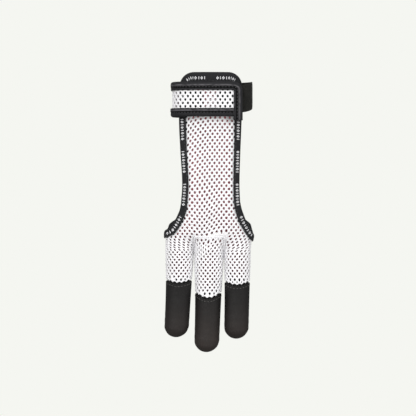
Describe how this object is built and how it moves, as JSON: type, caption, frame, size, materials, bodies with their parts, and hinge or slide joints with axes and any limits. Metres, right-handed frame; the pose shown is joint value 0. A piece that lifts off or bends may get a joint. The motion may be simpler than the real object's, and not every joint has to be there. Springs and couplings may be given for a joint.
{
  "type": "archery glove",
  "caption": "Worn archery glove: mesh palm and back with closed caps on the drawing fingers, taped edges and a hook-and-loop wrist strap.",
  "frame": {"origin": "middle of the wrist loop, where the glove is held by the wrist", "axes": "+Z towards the forearm along the hand, -Y out of the palm, +X towards the little finger's side"},
  "size_m": [0.0674, 0.0449, 0.2071],
  "materials": {
    "mesh": "white air mesh with round holes, matt",
    "tape": "black grosgrain binding tape with small woven marks",
    "tab_tape": "plain black binding tape with a stitched groove",
    "cap": "soft black leather, satin, with a topstitched mouth",
    "band": "black loop pile, matt"
  },
  "bodies": {
    "root": {"palm_mesh": "mesh", "middle_front": "mesh", "back_mesh": "mesh", "palm_tape": "tape", "back_tape": "tape", "index_cap": "cap", "middle_cap": "cap", "ring_cap": "cap", "wrist_band": "band", "loop_patch": "band", "closing_tab": "mesh", "tab_top_tape": "tab_tape", "tab_hem_tape": "tab_tape"}
  },
  "joints": []
}
